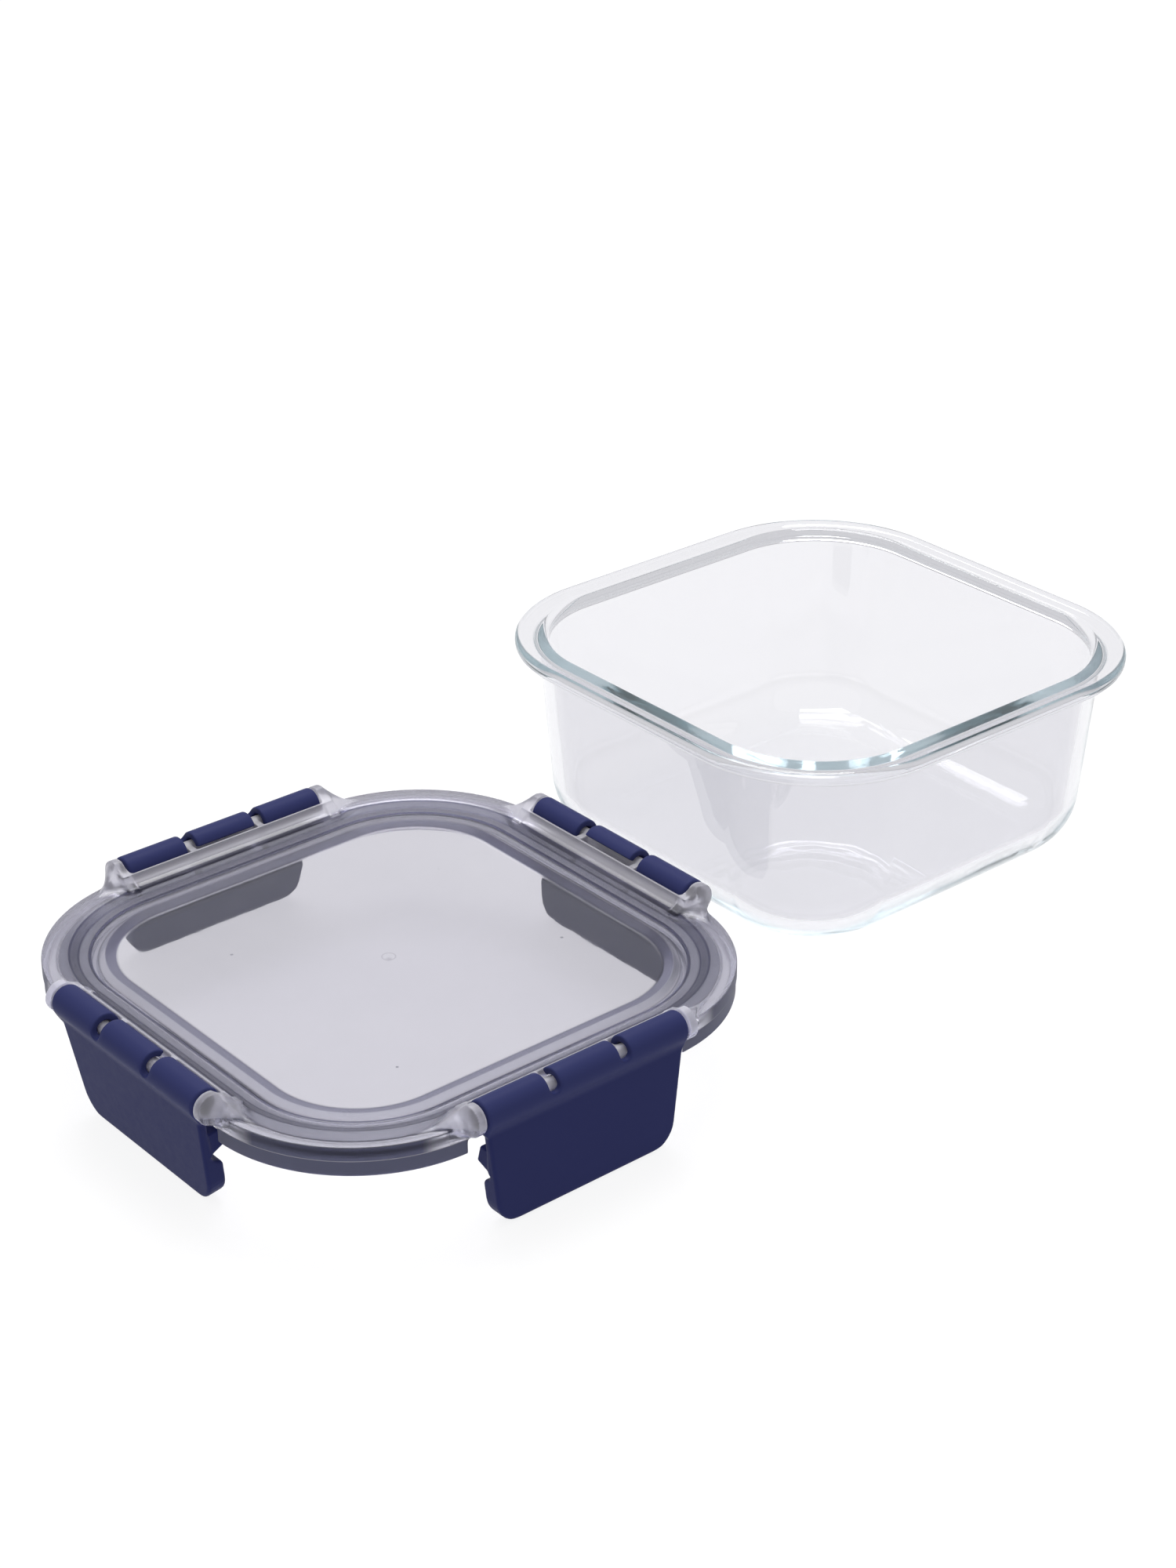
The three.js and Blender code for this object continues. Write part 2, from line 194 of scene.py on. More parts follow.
def surface_net(values, nodes):
    """Quads of the zero surface of `values` on a grid of `nodes` that wraps on its first axis."""
    wrapped = np.concatenate((values, values[:1]))
    places = np.concatenate((nodes, nodes[:1]))
    inside = wrapped < 0
    count = np.zeros(tuple(n - 1 for n in wrapped.shape), np.int8)
    offsets = [(i, j, k) for i in (0, 1) for j in (0, 1) for k in (0, 1)]
    for i, j, k in offsets:
        count += inside[i:i + count.shape[0], j:j + count.shape[1], k:k + count.shape[2]]
    active = (count > 0) & (count < 8)
    index = np.full(active.shape, -1, np.int64)
    index[active] = np.arange(active.sum())
    cells = np.argwhere(active)
    total = np.zeros((len(cells), 3))
    hits = np.zeros(len(cells))
    for low in offsets:
        for axis in range(3):
            if low[axis]:
                continue
            high = tuple(v + (a == axis) for a, v in enumerate(low))
            first = tuple((cells + low).T)
            second = tuple((cells + high).T)
            f0, f1 = wrapped[first], wrapped[second]
            cut = (f0 < 0) != (f1 < 0)
            t = np.where(cut, f0 / np.where(cut, f0 - f1, 1), 0)[:, None]
            where = places[first] * (1 - t) + places[second] * t
            total += np.where(cut[:, None], where, 0)
            hits += cut
    vertices = total / hits[:, None]
    before = np.roll(index, 1, axis=0)
    inner = inside[:-1]
    groups = (
        (inner != inside[1:], inner, (slice(None), slice(1, -1), slice(1, -1)), 1,
         (index[:, :-1, :-1], index[:, 1:, :-1], index[:, 1:, 1:], index[:, :-1, 1:])),
        (inner[:, :-1] != inner[:, 1:], inner[:, :-1],
         (slice(None), slice(None), slice(1, -1)), -1,
         (before[:, :, :-1], index[:, :, :-1], index[:, :, 1:], before[:, :, 1:])),
        (inner[:, :, :-1] != inner[:, :, 1:], inner[:, :, :-1],
         (slice(None), slice(1, -1), slice(None)), 1,
         (before[:, :-1], index[:, :-1], index[:, 1:], before[:, 1:])),
    )
    quads = []
    for change, lower, window, sign, corners in groups:
        cut = change[window]
        quad = np.stack([c[cut] for c in corners], axis=1)
        outward = lower[window][cut] == (sign > 0)
        quad[~outward] = quad[~outward][:, ::-1]
        quads.append(quad)
    return vertices, np.concatenate(quads), index


def settle(vertices, field, rounds=3, probe=0.04, longest=0.25):
    """Moves vertices onto the zero surface of `field` and gives its outward normals."""
    for last in [False] * rounds + [True]:
        slope = np.zeros(vertices.shape)
        for axis in range(3):
            step = np.zeros(3)
            step[axis] = probe
            slope[:, axis] = (field(vertices + step) - field(vertices - step)) / (2 * probe)
        size = np.maximum(np.linalg.norm(slope, axis=1), 1e-6)
        if last:
            return vertices, slope / size[:, None]
        move = np.clip(field(vertices) / size, -longest, longest)
        vertices = vertices - (move / size)[:, None] * slope


def outward_facing(vertices, quads):
    """The quads, flipped if together they enclose a negative volume."""
    a, b, c, d = (vertices[quads[:, k]] for k in range(4))
    volume = np.einsum("ij,ij->", a, np.cross(b, c)) + np.einsum("ij,ij->", a, np.cross(c, d))
    return quads if volume > 0 else quads[:, ::-1]


# ---------------------------------------------------------------- materials

class Nodes:
    """A short way to build one material's node tree."""

    def __init__(self, name):
        self.material = bpy.data.materials.new(name)
        self.material.use_nodes = True
        self.tree = self.material.node_tree
        self.tree.nodes.clear()
        self.output = self.add("ShaderNodeOutputMaterial")
        self.place = self.add("ShaderNodeTexCoord").outputs["Object"]

    def add(self, kind, **settings):
        node = self.tree.nodes.new(kind)
        for key, value in settings.items():
            setattr(node, key, value)
        return node

    def link(self, source, target):
        self.tree.links.new(source, target)

    def noise(self, scale, detail=2.0, roughness=0.5):
        node = self.add("ShaderNodeTexNoise")
        node.inputs["Scale"].default_value = scale
        node.inputs["Detail"].default_value = detail
        node.inputs["Roughness"].default_value = roughness
        self.link(self.place, node.inputs["Vector"])
        return node.outputs["Fac"]

    def height(self):
        """Height above the floor, in metres."""
        split = self.add("ShaderNodeSeparateXYZ")
        self.link(self.place, split.inputs["Vector"])
        return split.outputs["Z"]

    def ranged(self, source, low, high, from_low=0.3, from_high=0.7):
        """The source stretched from one range to another, by default a noise's usual range."""
        node = self.add("ShaderNodeMapRange")
        node.inputs["From Min"].default_value = from_low
        node.inputs["From Max"].default_value = from_high
        node.inputs["To Min"].default_value = low
        node.inputs["To Max"].default_value = high
        self.link(source, node.inputs["Value"])
        return node.outputs["Result"]

    def tinted(self, amount, under, over):
        """A colour, or another node's colour, covered by a second colour."""
        node = self.add("ShaderNodeMix", data_type="RGBA")
        self.link(amount, node.inputs["Factor"])
        if isinstance(under, bpy.types.NodeSocket):
            self.link(under, node.inputs["A"])
        else:
            node.inputs["A"].default_value = (*under, 1)
        node.inputs["B"].default_value = (*over, 1)
        return node.outputs["Result"]

    def math(self, operation, *values):
        node = self.add("ShaderNodeMath", operation=operation)
        for socket, value in zip(node.inputs, values):
            if isinstance(value, bpy.types.NodeSocket):
                self.link(value, socket)
            else:
                socket.default_value = value
        return node.outputs["Value"]

    def bump(self, source, distance, strength=1.0):
        node = self.add("ShaderNodeBump")
        node.inputs["Distance"].default_value = distance
        node.inputs["Strength"].default_value = strength
        self.link(source, node.inputs["Height"])
        return node.outputs["Normal"]

    def principled(self, **values):
        node = self.add("ShaderNodeBsdfPrincipled")
        for key, value in values.items():
            socket = node.inputs[key.replace("_", " ")]
            if isinstance(value, bpy.types.NodeSocket):
                self.link(value, socket)
            else:
                socket.default_value = value
        return node

    def finish(self, shader):
        self.link(shader, self.output.inputs["Surface"])
        return self.material


CLEAR_IOR = 1.5


def clear_material(name, tints, roughness, ripples, lamp_tint, absorb, density, marks=None):
    """A clear solid that darkens with the length of the way through it, and lets lamps through.

    `ripples` is the scale and the depth of the waves in its surface, and `marks` a function that
    changes the look from place to place.
    """
    n = Nodes(name)
    tint = n.tinted(n.noise(22, 3), *tints)
    rough = n.ranged(n.noise(160, 4, 0.6), *roughness)
    look = {"Base_Color": tint, "Roughness": rough, "Transmission_Weight": 1.0}
    if marks is not None:
        look.update(marks(n, tint, rough))
    scale, depth = ripples
    waves = n.bump(n.noise(scale, 2, 0.4), depth)
    surface = n.principled(IOR=CLEAR_IOR, Normal=waves, **look)
    lamps = n.add("ShaderNodeBsdfTransparent")
    lamps.inputs["Color"].default_value = (*lamp_tint, 1)
    path = n.add("ShaderNodeLightPath")
    mix = n.add("ShaderNodeMixShader")
    n.link(path.outputs["Is Shadow Ray"], mix.inputs["Fac"])
    n.link(surface.outputs["BSDF"], mix.inputs[1])
    n.link(lamps.outputs["BSDF"], mix.inputs[2])
    inside = n.add("ShaderNodeVolumeAbsorption")
    inside.inputs["Color"].default_value = (*absorb, 1)
    inside.inputs["Density"].default_value = density
    n.link(inside.outputs["Volume"], n.output.inputs["Volume"])
    return n.finish(mix.outputs["Shader"])


# The lid's painted shade, on its skirt and on rings of its top: what light takes on as it enters
# there, and what mirror reflections take on there.
SKIRT_PAINTED_SHADE, SKIRT_PAINTED_SHADE_GLOSS = (0.006, 0.0065, 0.015), (0.4, 0.42, 0.55)
PAINTED_SHADE, PAINTED_SHADE_GLOSS = (0.03, 0.03, 0.065), (0.1, 0.1, 0.13)
CLEAR_GLOSS = (1, 1, 1)
SATIN = 0.19
# Small flaws in the moulding: specks in a few cells of a pattern, and the ring that the mould's
# gate leaves in the middle of the window.
SPECK = (0.2, 0.2, 0.24)
SPECK_CELLS_PER_METRE, SPECK_SIZE, SPECK_ABOVE = 100, 0.045, 0.72
GATE_UP, GATE_RADIUS, GATE_LINE, GATE_STRENGTH = 0.0292, 0.0018, 0.0003, 0.45


def lid_marks_and_painted_shade(n, tint, rough):
    """The look of the lid from its "moulding" attribute: painted shade on the skirt, satin,
    painted shade on rings of the top, and milky.
    """
    moulding = n.add("ShaderNodeAttribute", attribute_name="moulding")
    parts = n.add("ShaderNodeSeparateColor")
    n.link(moulding.outputs["Color"], parts.inputs["Color"])
    leaving = n.add("ShaderNodeNewGeometry").outputs["Backfacing"]
    entering = n.math("SUBTRACT", 1.0, leaving)
    # Painted shade on rings of the top, where light enters them.
    tint = n.tinted(n.math("MULTIPLY", parts.outputs["Blue"], entering), tint, PAINTED_SHADE)
    # Painted shade on the skirt, where light enters it.
    tint = n.tinted(n.math("MULTIPLY", parts.outputs["Red"], entering), tint, SKIRT_PAINTED_SHADE)
    # Painted shade in the mirror reflections too, on the skirt and on the rings of the top.
    gloss = n.tinted(parts.outputs["Blue"], CLEAR_GLOSS, PAINTED_SHADE_GLOSS)
    gloss = n.tinted(parts.outputs["Red"], gloss, SKIRT_PAINTED_SHADE_GLOSS)
    clear = n.math("SUBTRACT", 1.0, moulding.outputs["Alpha"])
    specks = n.add("ShaderNodeTexVoronoi")
    specks.inputs["Scale"].default_value = SPECK_CELLS_PER_METRE
    n.link(n.place, specks.inputs["Vector"])
    chosen = n.add("ShaderNodeSeparateColor")
    n.link(specks.outputs["Color"], chosen.inputs["Color"])
    near = n.math("LESS_THAN", specks.outputs["Distance"], SPECK_SIZE)
    few = n.math("GREATER_THAN", chosen.outputs["Red"], SPECK_ABOVE)
    tint = n.tinted(n.math("MULTIPLY", near, few), tint, SPECK)
    gate = n.add("ShaderNodeVectorMath", operation="DISTANCE")
    n.link(n.place, gate.inputs[0])
    gate.inputs[1].default_value = (LID_X, LID_Y, GATE_UP)
    off_ring = n.math("ABSOLUTE", n.math("SUBTRACT", gate.outputs["Value"], GATE_RADIUS))
    tint = n.tinted(n.ranged(off_ring, GATE_STRENGTH, 0.0, 0.0, GATE_LINE), tint, SPECK)
    return {"Base_Color": tint, "Specular_Tint": gloss, "Transmission_Weight": clear,
            "Roughness": n.math("MULTIPLY_ADD", parts.outputs["Green"], SATIN, rough)}


def silicone_material():
    n = Nodes("silicone")
    colour = n.tinted(n.noise(90, 3), (0.13, 0.135, 0.20), (0.17, 0.175, 0.24))
    rough = n.ranged(n.noise(300, 4, 0.6), 0.42, 0.6)
    grain = n.bump(n.noise(2500, 2), 0.00004, 0.4)
    surface = n.principled(Base_Color=colour, Roughness=rough, IOR=1.42, Transmission_Weight=0.35,
                           Normal=grain)
    return n.finish(surface.outputs["BSDF"])


# Between these heights the latches turn from their body colour to a lighter one on their rolls:
# painted light, as if the rolls were lit from above.
ROLL_PAINTED_LIGHT_FROM, ROLL_PAINTED_LIGHT_TO = 0.027, 0.036


def latch_material():
    n = Nodes("latch_plastic")
    tone_and_roll_light = n.tinted(n.noise(60, 4, 0.6), (0.0165, 0.0205, 0.084), (0.018, 0.022, 0.090))
    upper = n.ranged(n.height(), 0.0, 1.0, ROLL_PAINTED_LIGHT_FROM, ROLL_PAINTED_LIGHT_TO)
    # Painted light: the rolls are lightened as if lit from above.
    tone_and_roll_light = n.tinted(upper, tone_and_roll_light, (0.031, 0.0365, 0.116))
    rough = n.ranged(n.noise(420, 5, 0.65), 0.4, 0.47)
    grain = n.bump(n.noise(3800, 3, 0.6), 0.00003, 0.35)
    surface = n.principled(Base_Color=tone_and_roll_light, Roughness=rough, IOR=1.13, Normal=grain)
    return n.finish(surface.outputs["BSDF"])


# ---------------------------------------------------------------- glass bowl

# A profile is corners (half width, height, radius). The bowl's and the lid's go from the middle
# underneath, round the rim, to the middle on top.
BOWL_PROFILE = [
    (44.0, 0.0, 0), (63.0, 0.0, 17.5),
    (68.0, 59.0, 2.4), (75.0, 59.0, 1.7), (75.0, 63.0, 1.9), (65.2, 63.0, 2.2),
    (60.0, 4.0, 14.0), (44.0, 4.0, 0),
]
LOFT_CORNER_STEPS = 32


def build_bowl(material):
    points, normals = filleted(BOWL_PROFILE)
    vertices, faces, directions = loft(points, normals, LOFT_CORNER_STEPS, closed=False)
    return make_piece("bowl_glass", vertices, faces, directions, material,
                      "bowl", "glass_bowl")


# ---------------------------------------------------------------- clear lid

LID_PROFILE = [
    (0, 27.4, 0), (62.6, 27.4, 0.5), (62.6, 24.2, 0.35), (64.2, 24.2, 0.35), (64.2, 28.6, 0.3),
    (72.8, 28.6, 0.5), (72.8, 27.0, 0.3), (75.4, 27.0, 0.5), (75.4, 22.7, 0.4),
    (76.65, 22.7, 0.4), (76.65, 27.0, 0.12), (76.9, 27.2, 0.12), (76.9, 31.0, 0.4),
    (70.6, 31.2, 2.2), (67.2, 30.05, 0.8), (64.8, 30.05, 0.15), (64.4, 29.8, 0.15),
    (60.5, 29.9, 0.5), (58.0, 29.2, 0.5), (0, 29.2, 0),
]
# The grid that the distance to this profile is worked out on.
TABLE_STEP = 0.05
TABLE_LOW, TABLE_HIGH = (46.0, 20.5), (84.0, 39.0)


def ring_table():
    """Distance to the lid's cross-section on a fine (half width, height) grid."""
    points, _ = filleted(LID_PROFILE)
    across = np.arange(TABLE_LOW[0], TABLE_HIGH[0], TABLE_STEP)
    up = np.arange(TABLE_LOW[1], TABLE_HIGH[1], TABLE_STEP)
    return polygon_distance(points, across[:, None], up[None, :])


def looked_up(table, across, up):
    """The table's distance at any point, interpolated."""
    u = np.clip((across - TABLE_LOW[0]) / TABLE_STEP, 0, table.shape[0] - 1.001)
    v = np.clip((up - TABLE_LOW[1]) / TABLE_STEP, 0, table.shape[1] - 1.001)
    i, j = u.astype(int), v.astype(int)
    u, v = u - i, v - j
    return ((table[i, j] * (1 - u) + table[i + 1, j] * u) * (1 - v)
            + (table[i, j + 1] * (1 - u) + table[i + 1, j + 1] * u) * v)


def arc(centre, radius, first, last, steps=20):
    """Points of an arc between two angles in degrees."""
    angles = np.radians(np.linspace(first, last, steps + 1))
    return [(centre[0] + radius * math.cos(a), centre[1] + radius * math.sin(a)) for a in angles]


# Outlines (out, up) of the hinge fittings: the wall behind the roll, the lugs at its ends and the
# webs under the bar.
WALL_OUTLINE = [(69.4, 28.9), (HINGE_OUT, 28.9), (HINGE_OUT, 34.1), (72.4, 34.1),
                *arc((69.4, 34.1), 3.05, 0, -90, 10)]
LUG_OUTLINE = [(69.4, 28.9), (72.95, 28.9), (72.95, 27.3), (76.6, 27.3),
               *arc((HINGE_OUT, HINGE_UP), 4.2, -100, 106), (69.4, 31.0)]
WEB_OUTLINE = [(72.7, 30.8), (HINGE_OUT, 30.8), (HINGE_OUT, 34.2), (72.7, 33.8)]
WEB_HALF = 1.1
# Along the bar: where the lugs start, where they begin to flare down into the flange, and where
# the flare has shrunk to its anchor.
LUG_INNER, LUG_OUTER, FLARE_END = 32.02, 34.4, 48.0
FLARE_ANCHOR, FLARE_LEAST = (71.6, 29.8), 0.06
BAR_END = 33.0
ROLL_CLEARANCE = 0.4
# The skirt is open below the hinge: half its length, its inner face and its upper edge.
SKIRT_GAP = (33.9, 75.1, 27.4)


def lid_field(table, points):
    """Distance to the clear moulding, in millimetres from the lid's middle."""
    x, y, up = np.abs(points[..., 0]), np.abs(points[..., 1]), points[..., 2]
    across, forward = x - CORE, y - CORE
    half = (CORE + np.hypot(np.maximum(across, 0), np.maximum(forward, 0))
            + np.minimum(np.maximum(across, forward), 0))
    along, out = np.minimum(x, y), np.maximum(x, y)
    bare = looked_up(table, half, up)
    near = (out > 64) & (along < 56) & (up > 20)
    result = bare.copy()
    a, o, z = along[near], out[near], up[near]
    axis = np.hypot(o - HINGE_OUT, z - HINGE_UP)
    swing = smooth_max(axis - ROLL_RADIUS - ROLL_CLEARANCE, a - LUG_INNER, 0.2)
    gap = np.maximum(np.maximum(a - SKIRT_GAP[0], SKIRT_GAP[1] - o), z - SKIRT_GAP[2])
    shell = smooth_max(smooth_max(bare[near], -swing, 0.3), -gap, 0.4)
    wall = smooth_max(polygon_distance(WALL_OUTLINE, o, z), a - LUG_OUTER, 0.4)
    wall = smooth_max(wall, -swing, 0.5)
    t = np.clip((a - LUG_OUTER) / (FLARE_END - LUG_OUTER), 0, 1)
    scale = FLARE_LEAST + (1 - FLARE_LEAST) * (1 - t) ** 2.4
    lug = polygon_distance(LUG_OUTLINE, FLARE_ANCHOR[0] + (o - FLARE_ANCHOR[0]) / scale,
                           FLARE_ANCHOR[1] + (z - FLARE_ANCHOR[1]) / scale) * scale
    lug = smooth_max(smooth_max(lug, LUG_INNER - a, 0.5), a - FLARE_END, 0.2)
    bar = np.maximum(axis - BAR_RADIUS, a - BAR_END)
    web = smooth_max(np.abs(a - WEB_OFFSET) - WEB_HALF, polygon_distance(WEB_OUTLINE, o, z), 0.4)
    shell = smooth_min(shell, wall, 0.7)
    shell = smooth_min(shell, lug, 1.4)
    shell = smooth_min(shell, bar, 0.5)
    result[near] = smooth_min(shell, web, 0.5)
    return result


def graded(*runs):
    """Grid lines from (start, step) runs; the last entry is the end."""
    lines = []
    for (start, step), (end, _) in zip(runs[:-1], runs[1:]):
        count = max(1, round((end - start) / step))
        lines.extend(start + (end - start) * k / count for k in range(count))
    return lines + [runs[-1][0]]


def lid_sections():
    """Sections round the lid, close together where the hinge fittings change."""
    straight = graded((0, 3), (9, 0.35), (13.3, 3.2), (30.2, 0.45), (CORE, 0))
    bend = graded((0, 0.6), (4, 1.2), (22, 2.4), (45, 0))
    bases, ways = [], []
    for corner in range(4):
        turn = Matrix.Rotation(corner * math.pi / 2, 2)
        middle = turn @ Vector((CORE, CORE))
        for along in straight[:-1]:
            bases.append(turn @ Vector((CORE, along)))
            ways.append(turn @ Vector((1, 0)))
        for degrees in bend + [90 - d for d in reversed(bend[:-1])]:
            angle = math.radians(degrees)
            bases.append(middle)
            ways.append(turn @ Vector((math.cos(angle), math.sin(angle))))
        for along in reversed(straight[1:-1]):
            bases.append(turn @ Vector((along, CORE)))
            ways.append(turn @ Vector((0, 1)))
    return np.array(bases), np.array(ways)


def ramp(value, low, high):
    """Smooth step from 0 at `low` to 1 at `high`."""
    t = np.clip((value - low) / (high - low), 0, 1)
    return t * t * (3 - 2 * t)


# Rings of the lid's top that get painted shade, from the rim inward: two half widths, and how
# much.
PAINTED_SHADE_RINGS = [
    (69.8, 77.0, 0.6), (67.4, 69.8, 0.9), (64.8, 67.4, 0.6),
    (64.3, 64.8, 0.88), (60.6, 64.2, 0.76), (57.6, 60.4, 0.97),
]


def moulding_and_painted_shade_marks(vertices, normals):
    """How much painted shade on the skirt, satin, painted shade on the top's rings and milkiness
    (red to alpha) the moulding has at each vertex.

    The skirt gets painted shade and its mid step with it, except above that step beside the
    hinges.
    All but the window is satin, and the hinge fittings are milky.
    """
    x, y, up = np.abs(vertices[:, 0]), np.abs(vertices[:, 1]), vertices[:, 2]
    along = np.minimum(x, y)
    half = CORE + np.hypot(np.maximum(x - CORE, 0), np.maximum(y - CORE, 0))
    half = np.where(np.maximum(x, y) < CORE, CORE, half)
    upright = 1 - ramp(np.abs(normals[:, 2]), 0.6, 0.9)
    upright = np.maximum(upright, 0.9 * ramp(up, 26.5, 26.8) * (1 - ramp(up, 27.3, 27.6)))
    # Painted shade: the skirt's outer wall and its mid step are darkened.
    skirt_painted_shade = upright * ramp(half, 76.1, 76.4) * (1 - ramp(half, 77.0, 77.4))
    skirt_painted_shade *= 1 - ramp(up, 30.9, 31.1)
    skirt_painted_shade *= np.where(up > 27.1, ramp(along, 37.0, 46.0), 1.0)
    satin = ramp(half, 57.2, 58.2) + 0.8 * ramp(up, 31.3, 32.0) + 1.6 * skirt_painted_shade
    # Painted shade on rings of the top, on faces that look up, between two heights.
    painted_shade = sum(amount * ramp(half, first - 0.3, first + 0.1)
                 * (1 - ramp(half, last - 0.1, last + 0.3))
                 for first, last, amount in PAINTED_SHADE_RINGS)
    painted_shade *= ramp(normals[:, 2], 0.2, 0.6)
    painted_shade *= ramp(up, 28.9, 29.1) * (1 - ramp(up, 31.2, 31.6))
    milky = np.where((along < LUG_INNER) & (half > 69.0), 0.45 * ramp(up, 30.4, 31.0),
                     0.2 * ramp(up, 31.2, 32.6))
    return np.stack([skirt_painted_shade, satin, painted_shade, milky], axis=1).astype(np.float32)


def build_lid(material):
    table = ring_table()
    bases, ways = lid_sections()
    halves = np.array(graded((50, 2.5), (55.5, 0.36), (82.6, 0)))
    heights = np.array(graded((21.9, 0.36), (37.4, 0)))
    nodes = np.zeros((len(bases), len(halves), len(heights), 3))
    flat = bases[:, None, :] + ways[:, None, :] * (halves - CORE)[None, :, None]
    nodes[..., :2] = flat[:, :, None, :]
    nodes[..., 2] = heights
    vertices, quads, index = surface_net(lid_field(table, nodes), nodes)
    rim = index[:, 0, :]    # the window's cut edge, closed by one face above and one below
    lower = [int(row[row >= 0][0]) for row in rim]
    upper = [int(row[row >= 0][-1]) for row in rim]
    vertices, normals = settle(vertices, lambda p: lid_field(table, p))
    faces = outward_facing(vertices, quads).tolist() + [upper, lower[::-1]]
    marks = moulding_and_painted_shade_marks(vertices, normals)
    vertices = vertices + np.array((LID_X, LID_Y, 0)) / MM
    piece = make_piece("lid_clear_shell", vertices, faces, normals, material,
                       "lid", "lid_shell")
    layer = piece.data.attributes.new("moulding", "FLOAT_COLOR", "POINT")
    layer.data.foreach_set("color", marks.ravel())
    return piece


# ---------------------------------------------------------------- gasket

GASKET_PROFILE = [
    (64.5, 28.3, 0.3), (64.5, 26.7, 0.3), (65.4, 26.3, 0.4), (67.6, 26.3, 0.3),
    (68.0, 26.8, 0.3), (69.2, 26.8, 0.3), (69.6, 26.3, 0.3), (71.7, 26.3, 0.4),
    (72.5, 26.8, 0.3), (72.5, 28.3, 0.3),
]


def build_gasket(material):
    points, normals = filleted(GASKET_PROFILE, closed=True)
    vertices, faces, directions = loft(points, normals, LOFT_CORNER_STEPS, closed=True)
    vertices = vertices + np.array((LID_X, LID_Y, 0)) / MM
    return make_piece("gasket_ring", vertices, faces, directions, material,
                      "lid", "silicone_gasket")


# ---------------------------------------------------------------- latches

# Outlines of one latch about its hinge axis: the plate from its side (out, up) and from its front
# (along, up), and the hook behind the plate from its side.
PLATE_LENGTH = 32.46
PLATE_SIDE, _ = filleted([
    (2.8, 0.0, 0.2), (0.4, 0.0, 0.2), (0.4, -18.6, 2.0), (-2.5, -20.6, 2.0),
    (-2.5, -PLATE_LENGTH, 2.4), (2.8, -PLATE_LENGTH, 1.5),
], closed=True)
PLATE_FRONT, _ = filleted([
    (31.5, 6.0, 0.2), (31.5, -4.4, 1.6), (30.6, -5.4, 2.0), (28.4, -24.5, 6.0),
    (27.4, -PLATE_LENGTH, 7.6), (-27.4, -PLATE_LENGTH, 7.6), (-28.4, -24.5, 6.0),
    (-30.6, -5.4, 2.0), (-31.5, -4.4, 1.6), (-31.5, 6.0, 0.2),
], closed=True)
HOOK_SIDE, _ = filleted([
    (1.0, -10.6, 0.2), (-5.8, -10.6, 0.6), (-5.8, -14.8, 0.8), (1.0, -17.2, 0.2),
], closed=True)
HOOK_END = 29.2
BORE_RADIUS = 2.4
# Angles about the axis, in degrees: the mouth that clips over the bar, wider between the webs.
MOUTH, MIDDLE_MOUTH = (190, 255), (145, 255)
# The slots that let the latch turn past the webs.
SLOT_HALF, SLOT_END = 1.7, 0.2
SLOT_DEPTH, SLOT_BACK = 1.6, -0.6


def mouth(y, z, first, last):
    """Distance to a wedge between two angles about the axis."""
    a, b = math.radians(first), math.radians(last)
    after = -(math.cos(a) * z - math.sin(a) * y)
    before = math.cos(b) * z - math.sin(b) * y
    return np.maximum(after, before)


def latch_field(points):
    """Distance to one latch in its hinge's frame: X along the bar, Y outward, Z up."""
    x, y, z = np.abs(points[..., 0]), points[..., 1], points[..., 2]
    axis = np.hypot(y, z)
    front = polygon_distance(PLATE_FRONT, x, z)
    roll = axis - ROLL_RADIUS
    plate = polygon_distance(PLATE_SIDE, y, z)
    body = smooth_max(smooth_min(roll, plate, 1.6), front, 0.9)
    hook = smooth_max(polygon_distance(HOOK_SIDE, y, z), x - HOOK_END, 0.6)
    body = smooth_min(body, hook, 0.8)
    body = smooth_max(body, BORE_RADIUS - axis, 0.3)
    body = smooth_max(body, -mouth(y, z, *MOUTH), 0.4)
    middle = np.maximum(mouth(y, z, *MIDDLE_MOUTH), x - WEB_OFFSET)
    body = smooth_max(body, -middle, 0.4)
    end = SLOT_END + SLOT_HALF
    offset = np.abs(x - WEB_OFFSET)
    slot = np.where(z > end, offset, np.hypot(offset, z - end)) - SLOT_HALF
    inner = np.maximum(np.maximum(offset - SLOT_HALF, y - SLOT_BACK), z - end)
    slot = np.maximum(np.minimum(slot, inner), axis - ROLL_RADIUS - SLOT_DEPTH)
    return smooth_max(body, -slot, 0.6)


def latch_mesh():
    """Vertices, faces and normals of one latch, finest along the webs' slots and its ends."""
    side = graded((0, 2.2), (8.8, 0.34), (13.4, 2.2), (20, 1.0), (27, 0.36), (32.2, 0))
    along = np.array([-v for v in reversed(side[1:])] + side)
    out = np.array(graded((-6.6, 0.34), (5.0, 0)))
    up = np.array(graded((-33.2, 0.36), (5.0, 0)))
    nodes = np.stack(np.meshgrid(along, out, up, indexing="ij"), axis=-1)
    vertices, quads, _ = surface_net(latch_field(nodes), nodes)
    vertices, normals = settle(vertices, latch_field)
    return vertices, outward_facing(vertices, quads), normals


# Every latch swings inward to this angle from upright, in degrees.
INWARD_LIMIT = -9.0


def build_latch(joint, shape, material):
    """One latch at its hinge, hanging at the angle that its range leaves inward."""
    vertices, quads, normals = shape
    axis = Vector(joint["axis"])
    outward = Vector((0, 0, 1)).cross(axis)
    hang = math.radians(INWARD_LIMIT - joint["range_deg"][0])
    frame_axes = Matrix((axis, outward, (0, 0, 1))).transposed()
    turn = np.array(Matrix.Rotation(hang, 3, axis) @ frame_axes)
    placed = vertices @ turn.T + np.array(joint["pos_m"]) / MM
    body = joint["child"]
    node = frame["record"]["behaviour"]["bodies"][body][0]
    return make_piece(node + "_moulding", placed, quads.tolist(), normals @ turn.T, material,
                      body, node)


# ---------------------------------------------------------------- build

